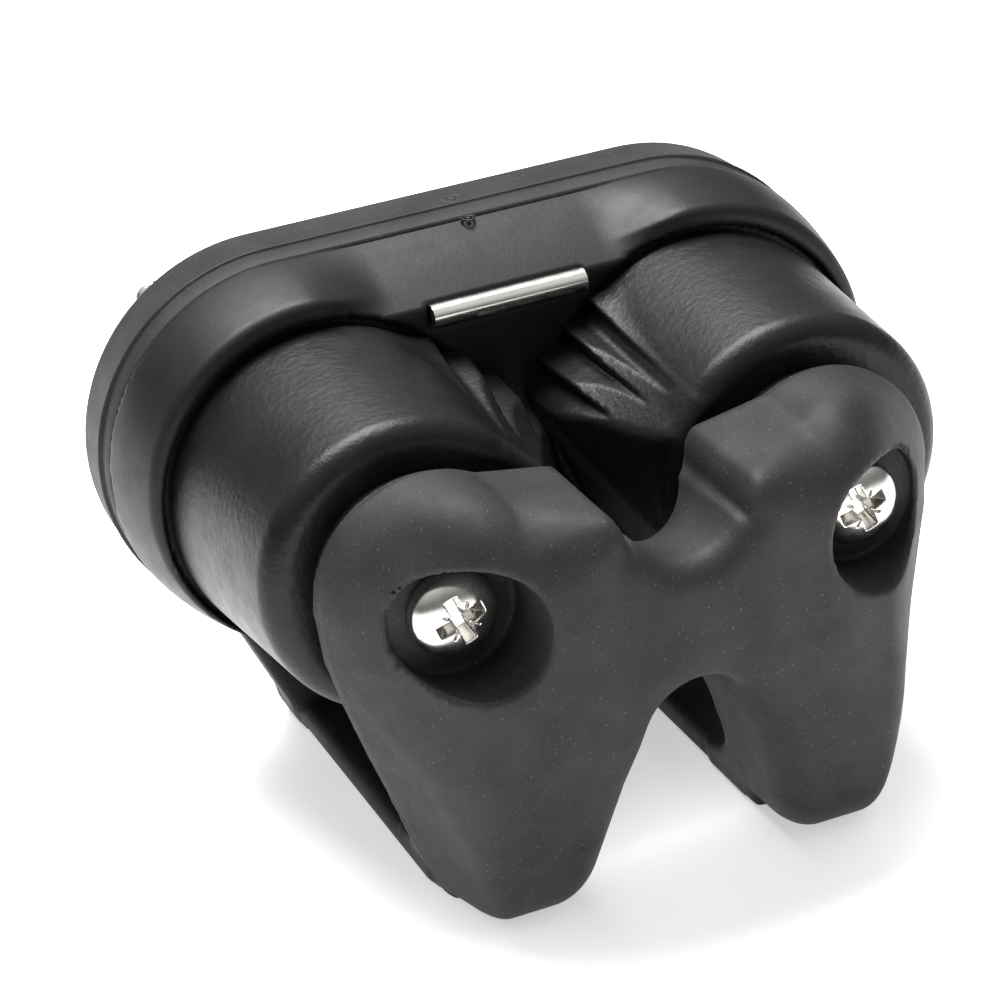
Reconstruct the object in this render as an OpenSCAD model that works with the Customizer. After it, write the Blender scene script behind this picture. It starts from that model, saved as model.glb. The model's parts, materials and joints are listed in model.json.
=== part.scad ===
// Cam cleat with a two-legged horn, standing as it is screwed to a spar:
// X runs from cam to cam, +Z is the side the loaded rope comes from, and the
// mounting face is the plane Y = 0 with the cleat in front of it (-Y).
// Each module is drawn flat on the mounting face, z being the height above it,
// and upright() turns it to stand.

/* [Fastening] */
// Distance between the two screw axes
hole_spacing = 38; // [38:0.5:41]
// Thread diameter of the screws
screw_d = 4; // [3.5:0.1:4.4]
// Length of a screw under its head
screw_len = 85; // [70:1:110]
// Diameter of its plain shank, ahead of the thread
shank_d = 3.5; // [3:0.05:3.6]
// Diameter of the pan head
head_d = 8; // [7:0.1:8.5]
// Height of the pan head
head_h = 2.9; // [2.2:0.1:3.4]

/* [Bracket] */
// Thickness of the mounting pad
pad_t = 10; // [9:0.5:12]
// Radius of the pad's and cleat base's round ends
end_r = 18.4; // [18.2:0.1:19.5]
// How far the pad and base sit above the screw line
rise = 1; // [0:0.1:1.4]
// Width across the outside of the two rails
rails_w = 42.4; // [41:0.2:43]
// Depth of the leg tips and rails below the screw line
leg_drop = 31.5; // [30:0.5:34]
// Radius of the horn's lobes
lobe_r = 10.8; // [10.2:0.1:11]
// Width of the gap between the legs
leg_gap = 19.8; // [18:0.2:21]
// Radius of the recess around a screw head
recess_r = 6; // [5.6:0.1:6.6]
// Width of the rope notch at its narrowest
notch_w = 10.2; // [9:0.2:11]

/* [Cleat] */
// Height of the cleat base above the pad
base_h = 9; // [8:0.5:10]
// Radius of a cam's round wall at the bottom
cam_r = 15.4; // [14.8:0.1:15.6]
// Radius of that wall below the top rounding
cam_top_r = 13.9; // [13.4:0.1:14.4]
// Height of a cam
cam_h = 21.4; // [20.8:0.1:21.6]
// Reach of the jaw's longest tooth from the pivot
jaw_r = 18.9; // [18.4:0.1:18.9]
// Reach of the jaw at the top of the cam, where the rope drops in
jaw_open = 13.4; // [13:0.1:15]
// Number of grooves between the teeth of a jaw
grooves = 3; // [2:1:5]
// Diameter of the stainless wear pin
pin_d = 2.2; // [1.8:0.1:2.4]
// Length of the wear pin
pin_len = 15.2; // [13:0.2:16]

/* [Pivot] */
// Outside radius of a pivot bush
bush_r = 5; // [4.6:0.1:5.2]
// Running clearance of a cam on its bush
run_fit = 0.05; // [0.02:0.01:0.1]
// Wire diameter of the torsion spring
wire_d = 1.1; // [0.8:0.1:1.2]
// Full turns of the torsion spring
spring_turns = 3; // [2:1:4]

/* [Hidden] */
$fn = 96;

half = hole_spacing / 2;
eps = 0.01;

// Heights above the mounting face
base_z = pad_t;
rim_z = base_z + base_h;
seat_z = rim_z - 1.4;
washer_t = 0.8;
cam_z = seat_z + washer_t + 0.1;
cam_top_z = cam_z + cam_h;
cap_z = cam_top_z + 0.15;
cap_t = 1.4;
bush_z = seat_z - 1.6;
horn_z = cap_z + cap_t;
lobe_z = horn_z + 0.5;
head_z = horn_z + 6.5;

// Bracket
bore_r = screw_d / 2 + 0.2;
back_round = 2;
arch_foot = -24.2;
arch_y = -13.5;
arch_r = 4.5;
plate_t = 6;
plate_reach = [5.2, -19.4];
plate_top = [10, -14];
rail_in = leg_gap / 2;
rail_out = rails_w / 2;
rail_h = 3.3;
rail_splay = 0.9;
leg_fillet = 9;
lobe_from = 118;
lobe_to = -16;
front_z = lobe_z + 16.4;
ridge_z = front_z - 5.4;
front_r = 56;
side_lean = 28.8;
corner_r = 10;
crown_r = 8.5;
toe_r = 9;
toe_lean = 12;
boss_r = lobe_r - 1.2;
notch_floor = 5.5;
notch_tilt = 32;
notch_foot = 4.6;
notch_side = 3.9;
front_tilt = 40;
reach_out = 100;

// Cleat base
rim_r = cam_r + 1.5;
seat_r = cam_r + 0.6;
lip_r = 0.8;
wall_r = 14;
wall_sweep = acos(1 - (end_r - rim_r) / wall_r);
shoulder = 1.8;
shoulder_in = 0.4;
saddle_y = 13.2;
saddle_back = 2 - saddle_y;
saddle_floor = rim_z - 0.3;
pin_y = saddle_y + 0.7;
pin_z = rim_z - 0.1;

// Cam and jaw
cam_round = 2.2;
jaw_z = rim_z + 0.25;
jaw_top_z = cam_top_z - 0.5;
cap_band = 4;
jaw_from = 12;
full_to = 16;
jaw_to = 47.5;
land_to = 58;
jaw_gain = 0.085;
tooth_h = 1.2;
jaw_taper = 0.004;
open_lean = 21;
flank_at = -40;
bore_gap = bush_r + run_fit;
well_in = bush_r + 1;
well_out = 8.9;
well_h = 8;

// Torsion spring
coil_r = (well_in + well_out) / 2;
coil_pitch = wire_d + 0.25;
coil_z = cam_z + 1.2;
wire_sides = 8;
steps_per_turn = 20;
tang_len = 2.2;
tang_at = 200;

// Screw head
head_edge = 0.9;
cross_w = 1.15;
cross_l = 4.8;
cross_depth = 1.7;
tip_round = 0.6;

// ---- helpers -------------------------------------------------------------

module upright() rotate([90, 0, 0]) children();

module left() translate([-half, 0, 0]) children();

module right() translate([half, 0, 0]) mirror([1, 0, 0]) children();

function polar(r, a) = [r * cos(a), r * sin(a)];

// Points along an arc about c, from angle a0 to a1
function arc(c, r, a0, a1, n = 8) = [for (i = [0:n]) c + polar(r, a0 + (a1 - a0) * i / n)];

// A ring-shaped body standing on height z
module tube(z, h, r_out, r_in) {
    translate([0, 0, z])
        difference() {
            cylinder(h = h, r = r_out);
            translate([0, 0, -1]) cylinder(h = h + 2, r = r_in);
        }
}

// A round-ended bar of the two screw axes, its wall given by the children
module stadium_of_revolution(y) {
    for (side = [-1, 1])
        translate([side * half, y, 0]) rotate_extrude() children();
    translate([-half, y, 0])
        rotate([90, 0, 90])
            linear_extrude(height = hole_spacing) {
                children();
                mirror([1, 0]) children();
            }
}

// ---- bracket: pad, rails, legs and horn in one moulding -------------------

// Half section of the pad, its back edge rounded
module pad_section() {
    translate([0, back_round]) square([end_r, pad_t - back_round]);
    square([end_r - back_round, pad_t]);
    translate([end_r - back_round, back_round]) circle(r = back_round);
}

// Web under the pad that carries the rails
module pad_web() {
    edge = half + plate_top.x;
    web = [[rail_out, -leg_drop], [rail_out + plate_reach.x, plate_reach.y], [edge, plate_top.y], [edge, 0]];
    linear_extrude(height = plate_t)
        polygon(concat(web, [for (i = [3:-1:0]) [-web[i].x, web[i].y]]));
}

// One rail along the bottom, from the mounting face to the leg
module rail() {
    bottom = -leg_drop;
    linear_extrude(height = lobe_z + 1)
        polygon([[rail_in, bottom], [rail_out, bottom],
                 [rail_out + rail_splay, bottom + rail_h], [rail_in, bottom + rail_h]]);
}

// Outline of the right half of the horn, seen from the front: notch shoulder,
// lobe, leg and the side of the arch
half_outline = concat(
    [[0, arch_y + arch_r], [0, notch_foot], [notch_w / 2, notch_foot]],
    arc([notch_w / 2 + notch_side, notch_foot], notch_side, 180, lobe_from, 5),
    arc([half, 0], lobe_r, lobe_from, lobe_to, 20),
    arc([rail_out - 1, 1 - leg_drop], 1, lobe_to, -90, 3),
    [[rail_in, -leg_drop], [rail_in, arch_foot]],
    arc([0, arch_y], arch_r, 25, 90, 6));

module horn_outline() {
    linear_extrude(height = reach_out) {
        polygon(half_outline);
        mirror([1, 0]) polygon(half_outline);
    }
}

// Side view of what fills the corner between a leg's back and its rail
module leg_back() {
    rail_top = rail_h - leg_drop;
    polygon(concat(
        [[-leg_drop, lobe_z - leg_fillet]],
        arc([rail_top + leg_fillet, lobe_z - leg_fillet], leg_fillet, 180, 90, 8),
        [[rail_top + leg_fillet, lobe_z + 1], [-leg_drop, lobe_z + 1]]));
}

// Side view of the horn's front: crowned top, legs leaning back, round toes
module front_profile() {
    bottom = -leg_drop;
    polygon(concat(
        [[bottom, 0], [lobe_r, 0]],
        arc([lobe_r - crown_r, front_z - crown_r], crown_r, 0, 90, 16),
        [[-8, front_z]],
        arc([bottom + toe_r, lobe_z + 10.5 - toe_r], toe_r, 90 + toe_lean, 180, 14)));
}

// Plan of the horn's front: one broad curve between corners that run into
// leaning sides
front_c = front_z - front_r;
side_reach = (half + lobe_r) * cos(side_lean) + lobe_z * sin(side_lean);
corner_at = side_lean
    + acos((side_reach - corner_r - front_c * sin(side_lean)) / (front_r - corner_r));
corner_c = [0, front_c] + polar(front_r - corner_r, corner_at);

module front_plan() {
    right_half = concat(
        [[0, 0], [half + lobe_r, 0], [half + lobe_r, lobe_z]],
        arc(corner_c, corner_r, side_lean, corner_at, 14),
        arc([0, front_c], front_r, corner_at, 90, 16));
    polygon(right_half);
    mirror([1, 0]) polygon(right_half);
}

// A side view swept across the part, and a plan swept through its height
module across() {
    translate([-reach_out / 2, 0, 0])
        rotate([90, 0, 90]) linear_extrude(height = reach_out) children();
}

module through_height() {
    translate([0, reach_out / 2, 0])
        rotate([90, 0, 0]) linear_extrude(height = reach_out) children();
}

module horn_block() {
    intersection() {
        union() {
            translate([0, 0, lobe_z]) horn_outline();
            intersection() {
                horn_outline();
                across() leg_back();
            }
        }
        across() front_profile();
        through_height() front_plan();
    }
}

// One run of the rope notch, open at the top, tilted about its start
module notch_run(r, tilt) {
    rotate([tilt, 0, 0])
        linear_extrude(height = reach_out) {
            circle(r = r);
            translate([-r, 0]) square([2 * r, 2 * lobe_r]);
        }
}

// Rope notch between the lobes: its floor climbs from the cams to a ridge and
// falls again to the front
module rope_notch() {
    translate([0, notch_floor + notch_w / 2, ridge_z]) {
        notch_run(notch_w / 2, 180 - notch_tilt);
        notch_run(notch_w / 2 + 0.4, front_tilt);
    }
}

module horn_bracket() {
    color("#2b2b2d")
        upright()
            difference() {
                union() {
                    stadium_of_revolution(rise) pad_section();
                    pad_web();
                    rail();
                    mirror([1, 0, 0]) rail();
                    horn_block();
                    for (side = [-1, 1])
                        translate([side * half, 0, horn_z]) cylinder(h = 2, r = boss_r);
                }
                rope_notch();
                for (side = [-1, 1])
                    translate([side * half, 0, 0]) {
                        translate([0, 0, -1]) cylinder(h = head_z + 2, r = bore_r);
                        translate([0, 0, head_z]) cylinder(h = reach_out, r = recess_r);
                    }
            }
}

// ---- cleat base ----------------------------------------------------------

// Half section of a round end: a hollow wall that climbs to a rounded lip
module base_section() {
    lip_z = rim_z - lip_r;
    polygon(concat(
        [[0, base_z], [end_r, base_z]],
        arc([rim_r + wall_r, lip_z], wall_r, 180 + wall_sweep, 180, 8),
        arc([rim_r - lip_r, lip_z], lip_r, 0, 90, 5),
        [[0, rim_z]]));
}

// Section of the saddle between the cams; its load side slopes to the pin
module saddle_section() {
    polygon([[-end_r, base_z], [end_r, base_z], [end_r - shoulder_in, base_z + shoulder],
             [saddle_y, saddle_floor], [saddle_back, saddle_floor], [-end_r, base_z + shoulder]]);
}

module cleat_base() {
    color("#1e1e20")
        upright()
            difference() {
                union() {
                    for (side = [-1, 1])
                        translate([side * half, rise, 0]) rotate_extrude() base_section();
                    translate([-half, rise, 0])
                        rotate([90, 0, 90])
                            linear_extrude(height = hole_spacing) saddle_section();
                }
                for (side = [-1, 1])
                    translate([side * half, 0, 0]) {
                        translate([0, 0, seat_z]) cylinder(h = 5, r = seat_r);
                        translate([0, 0, bush_z]) cylinder(h = 5, r = bush_r);
                        translate([0, 0, base_z - 1]) cylinder(h = 10, r = bore_r);
                        mirror([side > 0 ? 1 : 0, 0, 0])
                            translate(concat(polar(coil_r, tang_at), seat_z - tang_len))
                                cylinder(h = 5, r = wire_d / 2 + 0.1, $fn = 24);
                    }
                translate([-pin_len / 2, pin_y, pin_z])
                    rotate([0, 90, 0]) cylinder(h = pin_len, d = pin_d);
                translate([-pin_len / 2, pin_y - pin_d / 2, pin_z])
                    cube([pin_len, pin_d, 5]);
            }
}

module wear_pin() {
    color("#d9d9d6")
        upright()
            translate([-pin_len / 2, pin_y, pin_z])
                rotate([0, 90, 0]) cylinder(h = pin_len, d = pin_d);
}

// ---- cams ----------------------------------------------------------------

// Reach of the jaw at an angle from the line between the pivots: it shrinks
// toward the load side, so a loaded rope pulls the jaws shut
function reach(a) = jaw_r - jaw_gain * max(0, a - full_to);

// Teeth like a ratchet's: a long face up to each crest, a short one down
function tooth_points() =
    let (step = (jaw_to - jaw_from) / grooves)
        [for (i = [0:grooves - 1])
            let (a = jaw_from + i * step)
                each [polar(reach(a), a), polar(reach(a + step) - tooth_h, a + 0.88 * step)]];

// How much the jaw has narrowed at height z
function narrowed(z) = 1 - jaw_taper * (z - jaw_z);

// Where the jaw runs out into the round wall, above and below its teeth
land_end = polar(cam_r - 0.3, land_to);
flank_end = polar(cam_r - 0.3, flank_at);

module toothed_jaw() {
    h = jaw_top_z - cap_band + 1 - jaw_z;
    linear_extrude(height = h, scale = narrowed(jaw_z + h))
        polygon(concat([[0, 0], flank_end], tooth_points(), [polar(reach(jaw_to), jaw_to), land_end]));
}

// Smooth band that closes the grooves off at the top
module jaw_band() {
    share = narrowed(jaw_top_z - cap_band);
    edge = [for (a = [jaw_from:4:jaw_to]) polar(share * reach(a) - 0.1, a)];
    translate([0, 0, jaw_top_z - cap_band])
        linear_extrude(height = cap_band)
            polygon(concat([[0, 0], 0.85 * flank_end], edge, [0.85 * land_end]));
}

// Everything behind the slope that widens the way between the jaws to the top
module behind_slope() {
    translate([jaw_open, 0, cam_top_z - 1])
        rotate([0, -open_lean, 0])
            translate([-reach_out, -reach_out / 2, -reach_out / 2]) cube(reach_out);
}

// Half section of the cam's round wall
module cam_section() {
    polygon(concat(
        [[0, cam_z], [cam_r, cam_z]],
        arc([cam_top_r - cam_round, cam_top_z - cam_round], cam_round, 5, 90, 8),
        [[0, cam_top_z]]));
}

module cam() {
    difference() {
        union() {
            rotate_extrude() cam_section();
            intersection() {
                union() {
                    translate([0, 0, jaw_z]) toothed_jaw();
                    jaw_band();
                }
                behind_slope();
            }
        }
        translate([0, 0, cam_z - 1]) cylinder(h = cam_h + 2, r = bore_gap);
        translate([0, 0, cam_z - eps]) cylinder(h = well_h, r = well_out);
    }
}

// ---- pivot parts ---------------------------------------------------------

module pivot_bush() tube(bush_z, horn_z - bush_z, bush_r, bore_r);

module thrust_washer() tube(seat_z, washer_t, cam_r - 1.4, well_out + 0.2);

module cam_cap() tube(cap_z, cap_t, lobe_r - 1.4, bush_r);

// Centre line of the spring: a helix with a straight tang at each end
coil_steps = spring_turns * steps_per_turn;
coil_line = concat(
    [[each polar(coil_r, tang_at), coil_z - wire_d - tang_len]],
    [for (i = [0:coil_steps])
        [each polar(coil_r, tang_at + 360 * i / steps_per_turn),
         coil_z + coil_pitch * i / steps_per_turn]]);

function unit(v) = v / norm(v);

// Ring of points about point i of the coil, square to the wire
function wire_ring(i) =
    let (last = len(coil_line) - 1,
         t = unit(coil_line[min(i + 1, last)] - coil_line[max(i - 1, 0)]),
         n = unit([coil_line[i].x, coil_line[i].y, 0]),
         u = unit(n - (n * t) * t),
         b = cross(t, u))
    [for (k = [0:wire_sides - 1])
        let (a = 360 * k / wire_sides)
            coil_line[i] + wire_d / 2 * (cos(a) * u + sin(a) * b)];

module torsion_spring() {
    rings = len(coil_line);
    points = [for (i = [0:rings - 1]) each wire_ring(i)];
    sides = [for (i = [0:rings - 2]) for (k = [0:wire_sides - 1])
        let (a = i * wire_sides + k, b = i * wire_sides + (k + 1) % wire_sides)
            [a, b, b + wire_sides, a + wire_sides]];
    first = [for (k = [wire_sides - 1:-1:0]) k];
    end = [for (k = [0:wire_sides - 1]) (rings - 1) * wire_sides + k];
    polyhedron(points, concat(sides, [first, end]));
}

// ---- screws --------------------------------------------------------------

module screw() {
    top = head_z + head_h;
    difference() {
        union() {
            cylinder(h = head_z + eps, d = shank_d);
            translate([0, 0, head_z - screw_len + tip_round])
                cylinder(h = screw_len - head_z - tip_round, d = screw_d);
            translate([0, 0, head_z - screw_len])
                cylinder(h = tip_round + eps, d1 = screw_d - 2 * tip_round, d2 = screw_d);
            rotate_extrude()
                polygon(concat(
                    [[0, head_z], [head_d / 2, head_z], [head_d / 2, head_z + head_edge]],
                    [for (a = [15:15:90]) [head_d / 2 * cos(a),
                                           head_z + head_edge + (head_h - head_edge) * sin(a)]]));
        }
        for (turn = [0, 90])
            rotate([0, 0, turn + 20])
                translate([-cross_l / 2, -cross_w / 2, top - cross_depth])
                    cube([cross_l, cross_w, 5]);
    }
}

// ---- the pieces, left and right ------------------------------------------

module cam_left() color("#232325") upright() left() cam();
module cam_right() color("#232325") upright() right() cam();
module pivot_bush_left() color("#c9c9c6") upright() left() pivot_bush();
module pivot_bush_right() color("#c9c9c6") upright() right() pivot_bush();
module thrust_washer_left() color("#e8e6df") upright() left() thrust_washer();
module thrust_washer_right() color("#e8e6df") upright() right() thrust_washer();
module cam_cap_left() color("#141416") upright() left() cam_cap();
module cam_cap_right() color("#141416") upright() right() cam_cap();
module torsion_spring_left() color("#9c9c98") upright() left() torsion_spring();
module torsion_spring_right() color("#9c9c98") upright() right() torsion_spring();
module screw_left() color("#d4d4d0") upright() left() screw();
module screw_right() color("#d4d4d0") upright() right() screw();

horn_bracket();
cleat_base();
wear_pin();
cam_left();
cam_right();
pivot_bush_left();
pivot_bush_right();
thrust_washer_left();
thrust_washer_right();
cam_cap_left();
cam_cap_right();
torsion_spring_left();
torsion_spring_right();
screw_left();
screw_right();
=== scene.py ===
"""Looks of a cam cleat with a horn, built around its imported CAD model.

The mouldings are described as distance fields in the cleat's own stack
coordinates, in millimetres: x from cam to cam, y toward the load side and w the
height above the mounting face. Each field is meshed and turned into the frame.
"""
import json
import math
import bpy
import numpy as np
from mathutils import Matrix, Vector


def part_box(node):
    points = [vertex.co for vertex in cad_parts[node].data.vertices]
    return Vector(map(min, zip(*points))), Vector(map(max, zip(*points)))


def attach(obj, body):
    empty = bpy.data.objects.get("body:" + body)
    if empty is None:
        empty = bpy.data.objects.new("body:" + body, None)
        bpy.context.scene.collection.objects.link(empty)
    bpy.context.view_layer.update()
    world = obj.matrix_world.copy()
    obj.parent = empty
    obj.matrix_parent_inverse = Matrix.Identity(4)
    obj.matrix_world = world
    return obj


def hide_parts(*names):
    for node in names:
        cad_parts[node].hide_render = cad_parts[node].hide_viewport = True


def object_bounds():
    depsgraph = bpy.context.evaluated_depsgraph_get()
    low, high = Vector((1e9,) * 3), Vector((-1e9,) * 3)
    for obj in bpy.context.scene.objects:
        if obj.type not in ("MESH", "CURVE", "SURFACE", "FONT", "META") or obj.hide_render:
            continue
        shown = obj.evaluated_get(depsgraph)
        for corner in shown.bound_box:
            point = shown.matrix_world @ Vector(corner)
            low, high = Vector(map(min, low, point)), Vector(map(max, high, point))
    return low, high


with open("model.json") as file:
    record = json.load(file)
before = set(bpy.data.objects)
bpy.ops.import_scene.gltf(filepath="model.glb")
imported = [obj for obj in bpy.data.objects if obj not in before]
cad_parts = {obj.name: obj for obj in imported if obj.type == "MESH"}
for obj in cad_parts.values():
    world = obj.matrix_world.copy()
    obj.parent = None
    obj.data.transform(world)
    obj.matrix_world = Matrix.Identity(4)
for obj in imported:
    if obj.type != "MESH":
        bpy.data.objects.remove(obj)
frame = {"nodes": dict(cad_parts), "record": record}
CAD_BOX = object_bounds()
MM = 0.001


# ---- sizes worked out from the frame, in millimetres -------------------------

def stack_box(node):
    """Lowest and highest (x, y, w) of a CAD node."""
    low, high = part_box(node)
    return np.array([low.x, low.z, -high.y]) / MM, np.array([high.x, high.z, -low.y]) / MM


PAD_LOW, PAD_HIGH = stack_box("horn_bracket")
BASE_LOW, BASE_HIGH = stack_box("cleat_base")
CAM_LOW, CAM_HIGH = stack_box("cam_right")
PIN_LOW, PIN_HIGH = stack_box("wear_pin")
BUSH_LOW, BUSH_HIGH = stack_box("pivot_bush_right")
HEAD_LOW, HEAD_HIGH = stack_box("screw_right")

HALF = (BUSH_LOW[0] + BUSH_HIGH[0]) / 2
BUSH_R = (BUSH_HIGH[0] - BUSH_LOW[0]) / 2
HEAD_R = (HEAD_HIGH[0] - HEAD_LOW[0]) / 2
END_R = BASE_HIGH[0] - HALF
CENTRE_Y = BASE_HIGH[1] - END_R
PAD_TOP = BASE_LOW[2]
RIM = BASE_HIGH[2]
CAM_FOOT, CAM_TOP = CAM_LOW[2], CAM_HIGH[2]
CAM_R = CAM_HIGH[0] - HALF
BOTTOM = PAD_LOW[1]
FRONT = PAD_HIGH[2]
HORN_GAP = 2.05
HORN_BACK = CAM_TOP + HORN_GAP
HEAD_TALL = 2.9
HEAD_SEAT = HEAD_HIGH[2] - HEAD_TALL
SCREW_TIP = HEAD_LOW[2]
SCREW_R = 2.0
SKIN = 0.02  # keeps a face clear of the CAD box it meets


# ---- distance fields ---------------------------------------------------------

def arc(cx, cy, r, a0, a1, n=10):
    """Points along an arc, angles in degrees."""
    turn = np.radians(np.linspace(a0, a1, n + 1))
    return [(cx + r * math.cos(t), cy + r * math.sin(t)) for t in turn]


def polygon(px, py, points):
    """Signed distance to a closed outline, negative inside."""
    points = np.asarray(points, float)
    best, sign = None, 1.0
    for (ax, ay), (bx, by) in zip(points, np.roll(points, -1, axis=0)):
        ex, ey = bx - ax, by - ay
        wx, wy = px - ax, py - ay
        t = np.clip((wx * ex + wy * ey) / (ex * ex + ey * ey + 1e-12), 0, 1)
        gap = (wx - ex * t) ** 2 + (wy - ey * t) ** 2
        best = gap if best is None else np.minimum(best, gap)
        above, below, side = py >= ay, py < by, ex * wy > ey * wx
        sign = np.where((above & below & side) | (~above & ~below & ~side), -sign, sign)
    return sign * np.sqrt(best)


def meet(a, b, r):
    """Intersection with its edge rounded to radius r."""
    return np.minimum(np.maximum(a, b), -r) + np.hypot(np.maximum(a + r, 0), np.maximum(b + r, 0))


def join(a, b, r):
    """Union with its corner filled to radius r."""
    return -meet(-a, -b, r)


def cut(a, b, r):
    """a without b, the new edge rounded to radius r."""
    return meet(a, -b, r)


def stadium(x, y, r):
    return np.hypot(x - np.clip(x, -HALF, HALF), y) - r


def ramp(v, a, b):
    """0 below a, 1 above b, smooth between."""
    t = np.clip((v - a) / (b - a), 0, 1)
    return t * t * (3 - 2 * t)


# ---- meshing -----------------------------------------------------------------

CORNERS = [(i, j, k) for i in (0, 1) for j in (0, 1) for k in (0, 1)]


def settle(field, points, step):
    """Draws points onto the field's zero surface."""
    h = 0.04
    for _ in range(3):
        x, y, w = points.T
        value = field(x, y, w)
        slope = np.stack([field(x + h, y, w) - field(x - h, y, w),
                          field(x, y + h, w) - field(x, y - h, w),
                          field(x, y, w + h) - field(x, y, w - h)], 1) / (2 * h)
        size = np.maximum((slope ** 2).sum(1), 0.05)
        move = -(value / size)[:, None] * slope
        length = np.linalg.norm(move, axis=1, keepdims=True)
        points = points + move * np.minimum(1, 0.45 * step / np.maximum(length, 1e-9))
    return points


def surface(field, low, high, step):
    """Vertices and quads of a field's zero surface inside a box."""
    axes = [np.arange(a - 2 * step, b + 2 * step, step) for a, b in zip(low, high)]
    grids = np.meshgrid(*axes, indexing="ij", sparse=True)
    value = np.broadcast_to(field(*grids), [len(a) for a in axes]).astype(np.float32)
    inside = value < 0
    nx, ny, nz = value.shape
    count = sum(inside[i:nx - 1 + i, j:ny - 1 + j, k:nz - 1 + k].astype(np.int8) for i, j, k in CORNERS)
    mixed = (count > 0) & (count < 8)
    cells = np.argwhere(mixed)
    number = np.full(mixed.shape, -1, np.int64)
    number[mixed] = np.arange(len(cells))
    total, hits = np.zeros((len(cells), 3)), np.zeros(len(cells))
    for axis in range(3):
        unit = np.eye(3, dtype=int)[axis]
        for corner in CORNERS:
            if corner[axis]:
                continue
            a = cells + corner
            b = a + unit
            va, vb = value[tuple(a.T)], value[tuple(b.T)]
            crossed = (va < 0) != (vb < 0)
            t = np.where(crossed, va / np.where(crossed, va - vb, 1), 0)
            total += np.where(crossed[:, None], a + t[:, None] * unit, 0)
            hits += crossed
    points = np.array([a[0] for a in axes]) + step * total / hits[:, None]
    quads = []
    for axis in range(3):
        u, v = (axis + 1) % 3, (axis + 2) % 3
        ahead = np.moveaxis(inside, axis, 0)
        flips = np.moveaxis(ahead[1:] != ahead[:-1], 0, axis)
        edges = np.argwhere(flips)
        edges = edges[(edges[:, u] > 0) & (edges[:, v] > 0)]
        du, dv = np.eye(3, dtype=int)[u], np.eye(3, dtype=int)[v]
        ring = [number[tuple((edges - off).T)] for off in (du + dv, dv, 0 * du, du)]
        quad = np.stack(ring, 1)
        outward = inside[tuple(edges.T)]
        quads.append(np.where(outward[:, None], quad, quad[:, ::-1]))
    return settle(field, points, step), np.concatenate(quads)


def to_frame(points):
    """Stack millimetres to the frame's metres."""
    points = np.asarray(points, float)
    return np.stack([points[:, 0], -points[:, 2], points[:, 1]], 1) * MM


def add_mesh(name, points, faces, body, material):
    """A closed mesh given in stack millimetres, riding on a CAD body."""
    mesh = bpy.data.meshes.new(name)
    mesh.from_pydata(to_frame(points).tolist(), [], [list(map(int, f)) for f in faces])
    mesh.validate()
    mesh.materials.append(material)
    mesh.polygons.foreach_set("use_smooth", [True] * len(mesh.polygons))
    piece = bpy.data.objects.new(name, mesh)
    bpy.context.scene.collection.objects.link(piece)
    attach(piece, body)
    return piece


# ---- the mouldings -----------------------------------------------------------

LOBE_R = 10.8
LEAN = 0.53
ROLL = 7.0
LEG_ROLL = 2.4
NOTCH_ROLL = 3.6
REAR_STEP = 0.35
ARCH_ROLL = 3.2
NOTCH_R = 5.1
NOTCH_Y = 8.4
RIDGE_W = FRONT - 5.6
FRONT_R = 56.0
RAIL_IN, RAIL_OUT = 9.9, 20.7
RAIL_TOP = BOTTOM + 3.3
WEB_T = 6.0
RECESS_R = 6.0


def horn_outline():
    """Right half of the horn seen from the front, without the arch."""
    return ([(-40, -60), (-40, NOTCH_Y - NOTCH_R)]
            + arc(0, NOTCH_Y, NOTCH_R, -90, -12, 8)
            + arc(8.3, 5.4, 3.2, 178, 118, 6)
            + arc(HALF, 0, LOBE_R, 119, 0, 22)
            + [(29.5, -4.5), (28.3, -9.5), (26.8, -14.6), (25.0, -20.0), (22.9, -26.0), (RAIL_OUT, BOTTOM),
               (RAIL_OUT, -60)])


def arch_outline():
    """The arch between the legs: a round apex over straight sides."""
    side = [(RAIL_IN, -60), (RAIL_IN, -30.5), (8.9, -27), (7.7, -22.5), (6.5, -18), (5.3, -14.6)]
    return [(-x, y) for x, y in side] + arc(0, -13.6, 4.8, 165, 15, 12) + side[::-1]


HORN_OUTLINE = horn_outline()
ARCH_OUTLINE = arch_outline()
LEG_FRONT = [(60, 20), (60, FRONT), (-8, FRONT)] + arc(BOTTOM + 6.5, HORN_BACK + 4.2, 6.5, 104, 180, 12) + [
    (BOTTOM, 20)]


def horn_field(x, y, w):
    ax = np.abs(x)
    shift = LEAN * (w - HORN_BACK) * ramp(ax, 12, 26)
    outline = polygon(ax + shift, y, HORN_OUTLINE)
    outline = outline + REAR_STEP * (1 - ramp(w, HORN_BACK + 0.9, HORN_BACK + 1.2))
    front = w - (FRONT - FRONT_R + np.sqrt(np.maximum(FRONT_R ** 2 - x ** 2, 1)))
    face = meet(front, polygon(y, w, LEG_FRONT), 3)
    roll = LEG_ROLL + (ROLL - LEG_ROLL) * ramp(y, -28, -2)
    away = np.maximum(ramp(ax, 6, 14), ramp(-y, 0, 5))
    shape = meet(outline, face, NOTCH_ROLL + (roll - NOTCH_ROLL) * away)
    shape = cut(shape, polygon(x, y, ARCH_OUTLINE), ARCH_ROLL)
    shape = meet(shape, HORN_BACK - w, 0.5)
    behind = RIDGE_W - w
    drop = 0.29 * (behind + np.sqrt(behind ** 2 + 4))
    across = (NOTCH_Y + 0.6 - drop - y) * 0.9
    trough = np.where(across > 0, np.hypot(x, across), ax) - NOTCH_R + 0.8
    return cut(shape, trough, 3.2)


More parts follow.
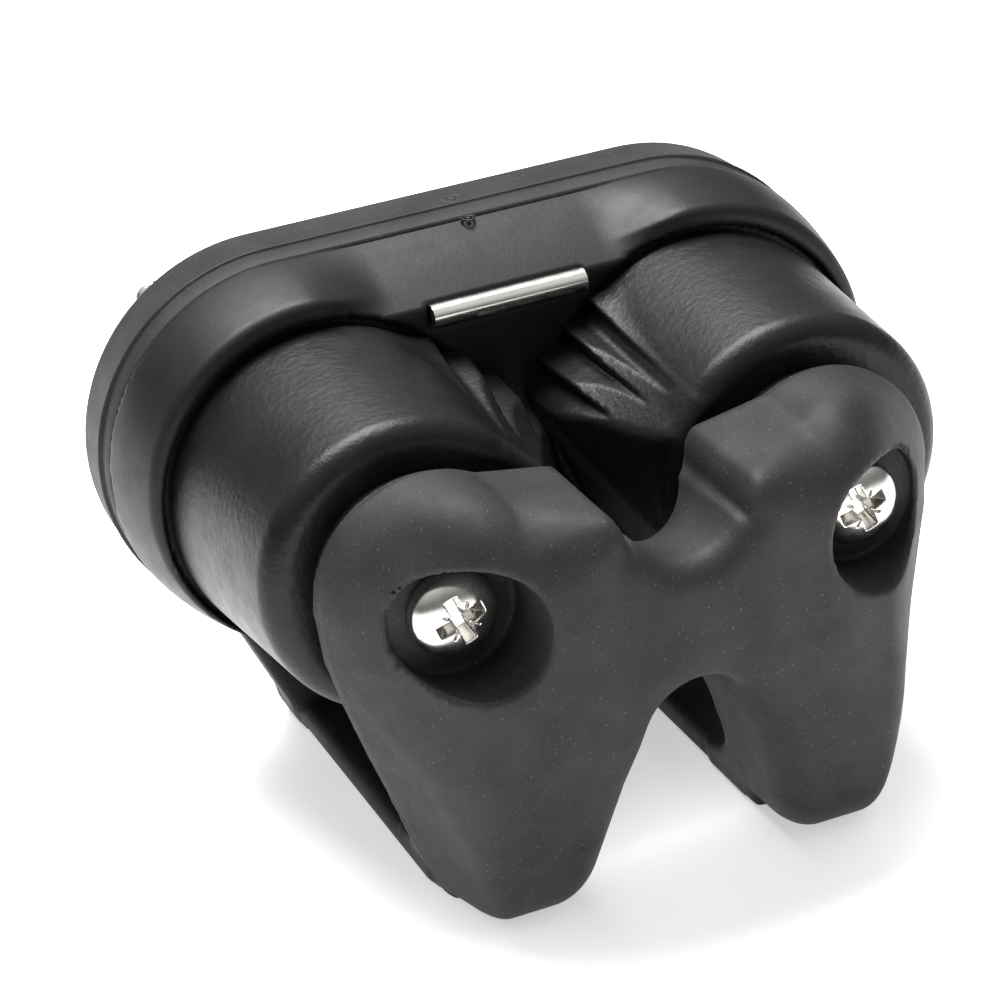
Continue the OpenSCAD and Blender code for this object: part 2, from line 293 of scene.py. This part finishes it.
def fillet_field(x, y, w):
    """What fills the corner between a leg's back and its rail."""
    ax = np.abs(x)
    side = [(BOTTOM, HORN_BACK - 9)] + arc(RAIL_TOP + 9, HORN_BACK - 9, 9, 180, 90, 10) + [
        (RAIL_TOP + 9, HORN_BACK + 0.8), (BOTTOM, HORN_BACK + 0.8)]
    return meet(polygon(y, w, side),
                np.maximum(polygon(ax, y, HORN_OUTLINE) + 0.4, -polygon(x, y, ARCH_OUTLINE)), 1.0)


def rail_field(x, y, w):
    ax = np.abs(x)
    edge = 1.2
    section = [(RAIL_IN + edge, BOTTOM + edge), (RAIL_OUT - edge, BOTTOM + edge),
               (RAIL_OUT + 0.9 - edge, RAIL_TOP - edge), (RAIL_IN + edge, RAIL_TOP - edge)]
    return meet(polygon(ax, y, section) - edge, np.maximum(-w, w - HORN_BACK + 1.0), 0.8)


def web_field(x, y, w):
    ax = np.abs(x)
    plate = [(-40, 0), (-40, BOTTOM), (RAIL_OUT, BOTTOM), (RAIL_OUT + 5.2, -19.4), (HALF + 10, -14),
             (HALF + 10, 0)]
    within_pad = stadium(x, y - CENTRE_Y, PAD_HIGH[0] - HALF)
    back = SKIN + 0.5 * (1 - ramp(within_pad, -3.0, -2.0))
    return meet(polygon(ax, y, plate), np.maximum(back - w, w - WEB_T), 0.6)


def screw_ways(x, y, w):
    """Bores and recesses for the screws."""
    r = np.hypot(np.abs(x) - HALF, y)
    return np.minimum(r - SCREW_R - 0.2, np.maximum(r - RECESS_R, HEAD_SEAT - w))


def bracket_field(x, y, w):
    shape = join(horn_field(x, y, w), fillet_field(x, y, w), 0.4)
    boss = np.maximum(np.hypot(np.abs(x) - HALF, y) - (LOBE_R - 1.2),
                      np.maximum(HORN_BACK - 0.5 - w, w - HORN_BACK - 2))
    shape = np.minimum(shape, boss)
    legs = join(rail_field(x, y, w), web_field(x, y, w), 1.0)
    shape = join(shape, legs, 0.5)
    return cut(shape, screw_ways(x, y, w), 0.35)


def base_field(x, y, w):
    ax, v = np.abs(x), y - CENTRE_Y
    climb = np.clip((w - PAD_TOP) / (RIM - PAD_TOP), 0, 1)
    wall = END_R - 1.5 * climb ** 1.6
    ends = (stadium(x, v, 0) - wall) * 0.97
    lip = meet(ends, w - RIM, 0.9)
    slope = 1 - ramp(ax, 10.5, 19.0)
    lean = (v - (END_R - 0.3 - 4.6 * climb ** 1.25)) * 0.88
    shape = np.where(ax < HALF, np.maximum(lip, slope * lean + (1 - slope) * lip), lip)
    shape = meet(shape, PAD_TOP + 0.12 - w, 0.15)
    shape = np.maximum(shape, w - RIM + 0.3 * slope)
    seat = np.maximum(np.hypot(ax - HALF, y) - CAM_R - 0.55, RIM - 1.4 - w)
    shape = cut(shape, seat, 0.45)
    pin_y, pin_w = (PIN_LOW[1] + PIN_HIGH[1]) / 2, (PIN_LOW[2] + PIN_HIGH[2]) / 2
    groove = np.maximum(np.hypot(y - pin_y, w - pin_w) - 1.12, ax - PIN_HIGH[0] - 0.15)
    shape = np.maximum(shape, -groove)
    bore = np.hypot(ax - HALF, y) - BUSH_R
    return np.maximum(shape, -np.maximum(bore, PAD_TOP + 4 - w))


# where the jaw's grooves begin and end round a cam's foot, in degrees
JAW_LOW, JAW_HIGH = 12.0, 47.5
GROOVES = 3
TOOTH = 1.7
BAND_LOW, BAND_HIGH = CAM_TOP - 4.6, CAM_TOP - 3.0
LAND_AT = 58.0
BACK_AT = -40
# where the plane that clears the open cam crosses x, and how far it leans
JAW_OPEN, OPEN_LEAN = 13.4, 0.38
HOLLOW_R, HOLLOW_TALL = 8.9, 8


def jaw_reach(angle, lift):
    """Distance of the jaw from the pivot; lift is 0 at the foot and 1 at the top."""
    foot = 18.9 - 0.083 * np.maximum(angle - 16, 0)
    top = 18.7 - 0.225 * np.maximum(angle - 18, 0)
    return foot + (top - foot) * lift


def jaw_field(x, y, w):
    """The toothed side of a cam whose pivot is the origin and whose jaw faces +x."""
    lift = np.clip((w - CAM_FOOT) / (CAM_TOP - CAM_FOOT), 0, 1)
    angle = np.degrees(np.arctan2(y, x))
    r = np.hypot(x, y)
    reach = jaw_reach(angle, lift)
    low, high = JAW_LOW + 5 * lift, JAW_HIGH - 6 * lift
    turn = (high - angle) / (high - low) * GROOVES
    part = turn - np.floor(turn)
    rise = np.where(part < 0.42, ramp(part, 0.03, 0.42), np.clip((1 - part) / 0.55, 0, 1))
    tooth = TOOTH * rise
    tooth = tooth * ((turn > 0) & (turn < GROOVES)) * (1 - ramp(w, BAND_LOW, BAND_HIGH))
    curve = (r - reach + tooth) * 0.82
    land_r = CAM_R - 0.25 - 1.6 * lift
    top = np.radians(LAND_AT - 2 * lift)
    crest, crest_turn = jaw_reach(high, lift), np.radians(high)
    hx, hy = crest * np.cos(crest_turn), crest * np.sin(crest_turn)
    gx, gy = land_r * np.cos(top), land_r * np.sin(top)
    ex, ey = gx - hx, gy - hy
    size = np.hypot(ex, ey)
    above = ((x - hx) * ey - (y - hy) * ex) / size
    tx, ty = 18.45 - 0.3 * lift, 3.6 + 0.5 * lift
    back_r, back_turn = CAM_R - 0.3, math.radians(BACK_AT)
    fx, fy = back_r * math.cos(back_turn), back_r * math.sin(back_turn)
    ex, ey = tx - fx, ty - fy
    below = ((x - fx) * ey - (y - fy) * ex) / np.hypot(ex, ey)
    slope = (x - JAW_OPEN - OPEN_LEAN * (CAM_TOP - 1 - w)) * 0.93
    shape = meet(np.maximum(curve, above), meet(below, slope, 0.3), 0.6)
    return np.maximum(shape, -x + 2)


def cam_field(x, y, w):
    r = np.hypot(x, y)
    lift = (w - CAM_FOOT) / (CAM_TOP - CAM_FOOT)
    wall = (r - (CAM_R - 1.75 * lift)) * 0.995
    shape = join(wall, jaw_field(x, y, w), 0.35)
    shape = meet(shape, w - CAM_TOP, 2.1)
    shape = meet(shape, CAM_FOOT - w, 0.3)
    shape = np.maximum(shape, BUSH_R + 0.05 - r)
    return np.maximum(shape, -np.maximum(r - HOLLOW_R, w - CAM_FOOT - HOLLOW_TALL))


def sweep_stadium(profile, centre_y, segments=56):
    """Closed mesh of an (r, w) profile carried round the two screw axes."""
    half = np.linspace(-math.pi / 2, math.pi / 2, segments + 1)
    loop = [(HALF, t) for t in half] + [(-HALF, t + math.pi) for t in half]
    points, faces = [], []
    n, m = len(loop), len(profile)
    for cx, t in loop:
        for r, w in profile:
            points.append((cx + r * math.cos(t), centre_y + r * math.sin(t), w))
    for i in range(n):
        j = (i + 1) % n
        for k in range(m - 1):
            faces.append((i * m + k, j * m + k, j * m + k + 1, i * m + k + 1))
    faces.append([i * m for i in range(n)][::-1])
    faces.append([i * m + m - 1 for i in range(n)])
    return np.array(points), faces


def pad_profile():
    """The pad's wall: rounded back, a parting step, a smooth band and its front edge."""
    step_w = 7.2
    r = PAD_HIGH[0] - HALF
    return ([(r - 3.0, SKIN)] + [(r - 2.2 + x, w) for x, w in arc(0, 2.4, 2.2, -80, 0, 6)]
            + [(r + 0.1, step_w - 0.25), (r + 0.22, step_w - 0.1), (r + 0.05, step_w),
               (r - 0.18, step_w + 0.08), (r - 0.12, step_w + 0.3),
               (r - 0.1, PAD_TOP - 0.28), (r - 0.22, PAD_TOP - 0.06), (r - 0.6, PAD_TOP + 0.06),
               (r - 2.5, PAD_TOP + 0.1)])


PITCH = 0.7
SHANK_R = 1.75
CROSS_TURN = math.radians(20)


def head_field(x, y, w):
    """A pan head on its own axis with a tapered cross recess and four tick marks."""
    r = np.hypot(x, y)
    lift = np.maximum(w - HEAD_SEAT - 0.9, 0) / (HEAD_HIGH[2] - HEAD_SEAT - 0.9)
    dome = (np.hypot(r / HEAD_R, lift) - 1) * 2.0
    shape = meet(dome, HEAD_SEAT + SKIN - w, 0.25)
    depth = HEAD_HIGH[2] - w
    for turn in (0, math.pi / 2):
        u = x * math.cos(CROSS_TURN + turn) + y * math.sin(CROSS_TURN + turn)
        v = y * math.cos(CROSS_TURN + turn) - x * math.sin(CROSS_TURN + turn)
        arm = np.maximum(np.abs(v) - 0.62 + 0.06 * depth, np.abs(u) - 2.45 + 0.55 * depth)
        shape = np.maximum(shape, -np.maximum(arm, depth - 2.0))
        s, t = (u + v) * math.sqrt(0.5), (u - v) * math.sqrt(0.5)
        tick = np.maximum(np.abs(t) - 0.09, np.abs(s) - 1.75)
        shape = np.maximum(shape, -np.maximum(tick, depth - 0.42 - 0.1 * r))
    return shape


def screw_shaft(around=24, rings_per_turn=6):
    """Closed mesh of a shank with its helical thread behind the mounting face."""
    points, faces = [], []
    tip = SCREW_TIP + SKIN
    levels = list(np.arange(tip, -0.4, PITCH / rings_per_turn)) + [-0.02, 0.6, HEAD_SEAT + 0.1]
    for w in levels:
        for k in range(around):
            turn = k / around
            phase = (w / PITCH - turn) % 1
            thread = SCREW_R - 0.4 * abs(2 * phase - 1)
            r = min(thread, 1.45 + (w - tip)) if w < -0.4 else SHANK_R
            points.append((r * math.cos(2 * math.pi * turn), r * math.sin(2 * math.pi * turn), w))
    for i in range(len(levels) - 1):
        for k in range(around):
            j = (k + 1) % around
            faces.append((i * around + k, i * around + j, (i + 1) * around + j, (i + 1) * around + k))
    faces.append(list(range(around))[::-1])
    faces.append([(len(levels) - 1) * around + k for k in range(around)])
    return np.array(points), faces


# ---- materials ---------------------------------------------------------------

def new_material(name, rough, metal=0.0):
    mat = bpy.data.materials.new(name)
    mat.use_nodes = True
    shader = mat.node_tree.nodes["Principled BSDF"]
    shader.inputs["Roughness"].default_value = rough
    shader.inputs["Metallic"].default_value = metal
    return mat, mat.node_tree.nodes, mat.node_tree.links, shader


def noise(nodes, links, scale, detail=4.0, rough=0.5):
    """Noise in object space; scale counts features per metre."""
    place = nodes.new("ShaderNodeTexCoord")
    tex = nodes.new("ShaderNodeTexNoise")
    tex.inputs["Scale"].default_value = scale
    tex.inputs["Detail"].default_value = detail
    tex.inputs["Roughness"].default_value = rough
    links.new(place.outputs["Object"], tex.inputs["Vector"])
    return tex.outputs["Fac"]


def remap(nodes, links, value, low, high, to_low, to_high):
    node = nodes.new("ShaderNodeMapRange")
    node.interpolation_type = "SMOOTHSTEP"
    for key, number in (("From Min", low), ("From Max", high), ("To Min", to_low), ("To Max", to_high)):
        node.inputs[key].default_value = number
    links.new(value, node.inputs["Value"])
    return node.outputs["Result"]


def mix(nodes, links, factor, a, b):
    """Colour between a and b, each a tuple or a socket."""
    node = nodes.new("ShaderNodeMix")
    node.data_type = "RGBA"
    links.new(factor, node.inputs[0])
    for socket, colour in ((node.inputs[6], a), (node.inputs[7], b)):
        if isinstance(colour, tuple):
            socket.default_value = (*colour, 1)
        else:
            links.new(colour, socket)
    return node.outputs[2]


def bump(nodes, links, height, strength, distance, under=None):
    node = nodes.new("ShaderNodeBump")
    node.inputs["Strength"].default_value = strength
    node.inputs["Distance"].default_value = distance
    links.new(height, node.inputs["Height"])
    if under is not None:
        links.new(under, node.inputs["Normal"])
    return node.outputs["Normal"]


def grained_nylon(name, dark, light, rough, grain, speck, pits):
    """Moulded nylon: cloudy colour, pale specks, fine grain and a pebbled skin."""
    mat, nodes, links, shader = new_material(name, rough)
    cloud = remap(nodes, links, noise(nodes, links, 160, 5), 0.35, 0.7, 0, 1)
    colour = mix(nodes, links, cloud, dark, light)
    flecks = remap(nodes, links, noise(nodes, links, 4200, 3, 0.5), speck - 0.04, speck + 0.06, 0, 1)
    colour = mix(nodes, links, flecks, colour, (0.085, 0.085, 0.088))
    links.new(colour, shader.inputs["Base Color"])
    matte = remap(nodes, links, noise(nodes, links, 420, 6), 0.3, 0.7, rough - 0.03, rough + 0.04)
    links.new(matte, shader.inputs["Roughness"])
    fine = bump(nodes, links, noise(nodes, links, 5200, 3), grain, 0.00006)
    coarse = bump(nodes, links, noise(nodes, links, 1500, 3), pits, 0.00012, fine)
    links.new(coarse, shader.inputs["Normal"])
    shader.inputs["IOR"].default_value = 1.36
    return mat


def bright_steel(name, tint, rough):
    mat, nodes, links, shader = new_material(name, rough, 1.0)
    stain = remap(nodes, links, noise(nodes, links, 300, 3), 0.45, 0.75, 0, 1)
    links.new(mix(nodes, links, stain, tint, tuple(c * 0.88 for c in tint)), shader.inputs["Base Color"])
    links.new(remap(nodes, links, noise(nodes, links, 900, 3), 0.35, 0.7, rough - 0.03, rough + 0.05),
              shader.inputs["Roughness"])
    links.new(bump(nodes, links, noise(nodes, links, 1500, 2), 0.12, 0.00002), shader.inputs["Normal"])
    return mat


# slot: dark and light colour, roughness, grain, where specks begin, depth of pits
NYLONS = {
    "horn_nylon": ((0.015, 0.015, 0.0155), (0.024, 0.024, 0.025), 0.60, 0.35, 0.68, 0.12),
    "base_nylon": ((0.003, 0.003, 0.0031), (0.006, 0.0057, 0.0058), 0.46, 0.22, 0.76, 0.10),
    "cam_nylon": ((0.003, 0.003, 0.0031), (0.006, 0.006, 0.0062), 0.38, 0.20, 0.78, 0.45),
    "cap_nylon": ((0.008, 0.008, 0.008), (0.012, 0.012, 0.012), 0.45, 0.3, 0.8, 0.10),
    "washer_acetal": ((0.62, 0.61, 0.58), (0.70, 0.69, 0.66), 0.38, 0.2, 0.8, 0.05),
}
# slot: tint, roughness
STEELS = {
    "bush_steel": ((0.60, 0.59, 0.57), 0.30),
    "pin_steel": ((0.80, 0.78, 0.74), 0.20),
    "spring_steel": ((0.50, 0.49, 0.48), 0.32),
    "screw_steel": ((0.72, 0.70, 0.67), 0.20),
}
MATERIALS = {name: grained_nylon(name, *look) for name, look in NYLONS.items()}
MATERIALS.update({name: bright_steel(name, *look) for name, look in STEELS.items()})


def dress_frame():
    """Every CAD node gets its slot's material."""
    slots = {p["node"]: p["material_slot"] for p in frame["record"]["subparts"]}
    for name, node in frame["nodes"].items():
        node.data.materials.clear()
        node.data.materials.append(MATERIALS[slots[name]])


# ---- building the pieces -----------------------------------------------------

def build_bracket():
    step = 0.45
    points, faces = surface(bracket_field, (-31, BOTTOM - 0.2, -0.2), (31, 11.5, FRONT + 0.2), step)
    horn = add_mesh("horn_and_legs", points, faces, "bracket_and_base", MATERIALS["horn_nylon"])
    points, faces = sweep_stadium(pad_profile(), CENTRE_Y)
    pad = add_mesh("pad", points, faces, "bracket_and_base", MATERIALS["horn_nylon"])
    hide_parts("horn_bracket")
    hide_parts("horn_bracket")


def gate_field(x, y, w):
    """A sprue's snapped end: a low ring round a small rough stub."""
    r = np.hypot(x, w) * (1 + 0.12 * np.sin(3 * np.arctan2(w, x)))
    ring = np.hypot((r - 0.95) * 0.55, y) - 0.13
    stub = np.hypot(r * 0.5, y) - 0.24
    return np.minimum(ring, stub)


def build_gates():
    """Gate marks on top of the pad and of the cleat base."""
    step = 0.07
    points, faces = surface(gate_field, (-1.3, -0.3, -1.3), (1.3, 0.3, 1.3), step)
    top = CENTRE_Y + END_R
    for name, at, size, slot in (("pad_gate", (0.4, top, 5.6), 1.0, "horn_nylon"),
                                 ("base_gate", (-0.1, top - 0.15, PAD_TOP + 0.9), 0.6, "base_nylon")):
        add_mesh(name, points * size + at, faces, "bracket_and_base", MATERIALS[slot])


def build_base():
    step = 0.4
    low, high = (BASE_LOW[0], BASE_LOW[1], PAD_TOP), (BASE_HIGH[0], BASE_HIGH[1], RIM)
    points, faces = surface(base_field, low, high, step)
    base = add_mesh("base", points, faces, "bracket_and_base", MATERIALS["base_nylon"])
    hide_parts("cleat_base")


def build_cams():
    step = 0.3
    points, faces = surface(cam_field, (-CAM_R, -CAM_R, CAM_FOOT), (19.2, CAM_R + 0.5, CAM_TOP), step)
    for side, name in ((-1, "left"), (1, "right")):
        placed = points * (-side, 1, 1) + (side * HALF, 0, 0)
        turned = faces if side < 0 else faces[:, ::-1]
        cam = add_mesh("cam_body_" + name, placed, turned, name + "_cam", MATERIALS["cam_nylon"])
        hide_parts("cam_" + name)


def build_screws():
    step = 0.1
    low, high = (-HEAD_R, -HEAD_R, HEAD_SEAT), (HEAD_R, HEAD_R, HEAD_HIGH[2])
    head, shaft = surface(head_field, low, high, step), screw_shaft()
    for side, name in ((-1, "left"), (1, "right")):
        for part, (points, faces) in (("head", head), ("shaft", shaft)):
            piece = add_mesh("screw_%s_%s" % (part, name), points + (side * HALF, 0, 0), faces,
                             "bracket_and_base", MATERIALS["screw_steel"])
            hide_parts("screw_" + name)


# ---- camera, light and floor -------------------------------------------------

def photo_camera():
    """The camera stands high on the left front, a little rolled."""
    azimuth, elevation, roll = math.radians(-19.965), math.radians(25.238), math.radians(-6.25)
    target = Vector((-0.00634, -0.02829, -0.00117))
    distance = 0.3048
    ahead = Vector((-math.sin(azimuth) * math.cos(elevation),
                    math.cos(azimuth) * math.cos(elevation), -math.sin(elevation)))
    level = ahead.cross(Vector((0, 0, 1))).normalized()
    upright = level.cross(ahead)
    side = level * math.cos(roll) + upright * math.sin(roll)
    up = side.cross(ahead)
    data = bpy.data.cameras.new("camera")
    data.sensor_width = 36
    data.lens = 121.261
    data.clip_start = 0.01
    camera = bpy.data.objects.new("camera", data)
    camera.matrix_world = Matrix.LocRotScale(
        target - ahead * distance, Matrix((side, up, -ahead)).transposed(), None)
    bpy.context.scene.collection.objects.link(camera)
    bpy.context.scene.camera = camera


def make_floor():
    bpy.ops.mesh.primitive_plane_add(size=6, location=(0, 0, CAD_BOX[0][2]))
    floor = bpy.context.object
    floor.name = "floor"
    mat, nodes, links, shader = new_material("floor", 0.6)
    paper = remap(nodes, links, noise(nodes, links, 30, 3), 0.3, 0.7, 0, 1)
    links.new(mix(nodes, links, paper, (0.93, 0.93, 0.93), (0.95, 0.95, 0.95)), shader.inputs["Base Color"])
    shader.inputs["Emission Color"].default_value = (1, 1, 1, 1)
    shader.inputs["Emission Strength"].default_value = 0.5
    floor.data.materials.append(mat)


def area_light(name, place, size, power, aim=(0, -0.03, 0)):
    data = bpy.data.lights.new(name, "AREA")
    data.shape = "RECTANGLE"
    data.size, data.size_y = size
    data.energy = power
    lamp = bpy.data.objects.new(name, data)
    lamp.location = place
    lamp.rotation_euler = (Vector(aim) - Vector(place)).to_track_quat("-Z", "Y").to_euler()
    bpy.context.scene.collection.objects.link(lamp)


def light_scene():
    world = bpy.data.worlds.new("studio")
    world.use_nodes = True
    nodes, links = world.node_tree.nodes, world.node_tree.links
    parts = nodes.new("ShaderNodeSeparateXYZ")
    links.new(nodes.new("ShaderNodeTexCoord").outputs["Generated"], parts.inputs["Vector"])
    links.new(remap(nodes, links, parts.outputs["Z"], 0.1, 0.8, 0.16, 0.75),
              nodes["Background"].inputs["Strength"])
    nodes["Background"].inputs["Color"].default_value = (1, 1, 1, 1)
    bpy.context.scene.world = world
    area_light("top", (-0.05, 0.22, 0.7), (0.5, 0.45), 12)
    bpy.context.scene.view_settings.view_transform = "Standard"


dress_frame()
build_bracket()
build_base()
build_cams()
build_screws()
build_gates()
make_floor()
light_scene()
photo_camera()
